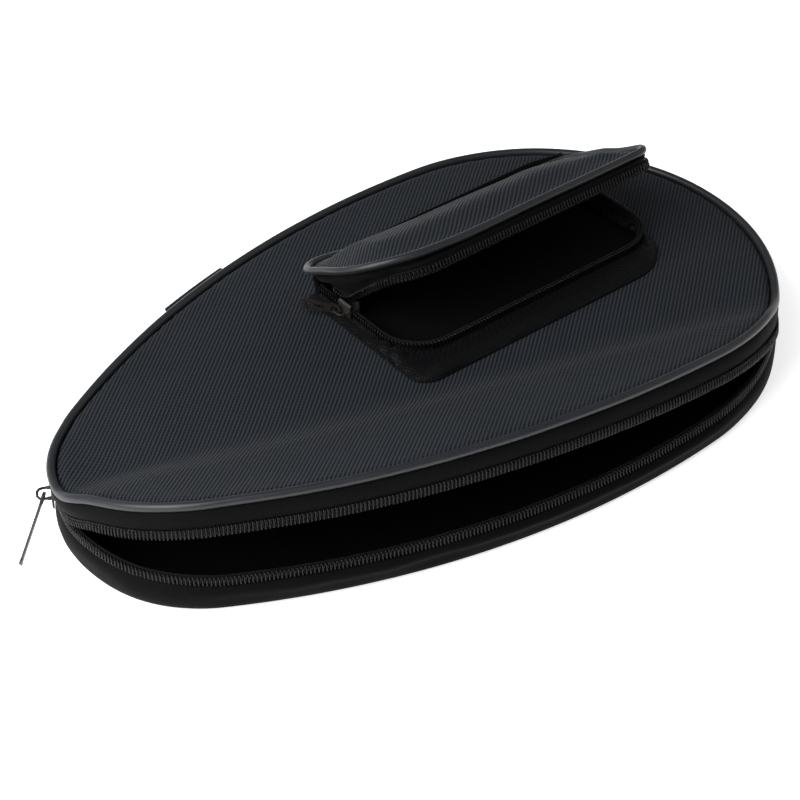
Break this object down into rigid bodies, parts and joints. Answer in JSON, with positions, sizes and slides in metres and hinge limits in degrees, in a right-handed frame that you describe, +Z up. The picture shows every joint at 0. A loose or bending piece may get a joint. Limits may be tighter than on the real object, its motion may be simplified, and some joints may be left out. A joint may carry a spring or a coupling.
{
  "type": "paddle case",
  "caption": "Soft teardrop zip case for a table tennis bat, its near half hinged up along a fold, with a lidded ball pocket on top and metal zip pulls.",
  "frame": {"origin": "middle of the footprint of the case and its pull, on the surface the case lies on", "axes": "+X from the narrow tip to the wide round end, +Y from the side that opens to the side that stays shut, +Z up"},
  "size_m": [0.3148, 0.1812, 0.0728],
  "materials": {
    "woven_nylon": "woven, matt",
    "gusset_fabric": "fine weave, faint sheen",
    "piping_vinyl": "soft semi-gloss vinyl piping",
    "zip_tape": "woven tape, matt",
    "zip_coil": "nylon coil, satin",
    "lining_cloth": "matt cloth",
    "blackened_metal": "blackened, worn bright on the edges"
  },
  "bodies": {
    "case": {"bottom_panel": "woven_nylon", "lower_wall": "gusset_fabric", "lower_zip_tape": "zip_tape", "lower_zip_coil": "zip_coil", "floor_lining": "lining_cloth", "wall_lining": "lining_cloth", "spine_wall": "woven_nylon", "zip_end_tack": "zip_tape", "closed_zip_tape": "zip_tape", "closed_zip_coil": "zip_coil", "far_wall": "gusset_fabric", "far_piping": "piping_vinyl", "far_panel": "woven_nylon", "far_lining": "lining_cloth", "side_loop": "woven_nylon", "pocket_welt": "woven_nylon", "pocket_gusset": "gusset_fabric", "pocket_lower_tape": "zip_tape", "pocket_lower_coil": "zip_coil", "pocket_back_wall": "gusset_fabric"},
    "flap": {"flap_wall": "gusset_fabric", "flap_zip_tape": "zip_tape", "flap_zip_coil": "zip_coil", "flap_piping": "piping_vinyl", "flap_panel": "woven_nylon", "flap_lining": "lining_cloth"},
    "slider": {"slider_body": "blackened_metal", "slider_bail": "blackened_metal"},
    "pull": {"pull_tab": "blackened_metal"},
    "pocket_lid": {"lid_piping": "piping_vinyl", "lid_panel": "woven_nylon", "lid_wall": "gusset_fabric", "lid_zip_tape": "zip_tape", "lid_zip_coil": "zip_coil"},
    "pocket_slider": {"pocket_slider_body": "blackened_metal", "pocket_slider_bail": "blackened_metal"},
    "pocket_pull": {"pocket_pull_tab": "blackened_metal"}
  },
  "joints": [
    {"name": "flap_fold", "type": "hinge", "parent": "case", "child": "flap", "pos_m": [-0.00305, -0.02221, 0.0306], "axis": [-0.9641, 0.2654, 0], "range_deg": [-17.4, 60]},
    {"name": "slider_run", "type": "hinge", "parent": "case", "child": "slider", "pos_m": [-0.0877, 0.00025, 0.0167], "axis": [0, 0, 1], "range_deg": [-28, 0]},
    {"name": "pull_swing", "type": "hinge", "parent": "slider", "child": "pull", "pos_m": [-0.1398, 0.02524, 0.0167], "axis": [0.3583, 0.5482, -0.7557], "range_deg": [-1, 32]},
    {"name": "lid_hinge", "type": "hinge", "parent": "case", "child": "pocket_lid", "pos_m": [0.0479, 0.04675, 0.043], "axis": [-1, 0, 0], "range_deg": [-27.4, 95]},
    {"name": "pocket_slider_run", "type": "slide", "parent": "case", "child": "pocket_slider", "axis": [0, 1, 0], "range_m": [-0.012, 0.01]},
    {"name": "pocket_pull_swing", "type": "hinge", "parent": "pocket_slider", "child": "pocket_pull", "pos_m": [-0.0102, 0.02775, 0.036], "axis": [0, 0, 1], "range_deg": [-30, 20]}
  ]
}
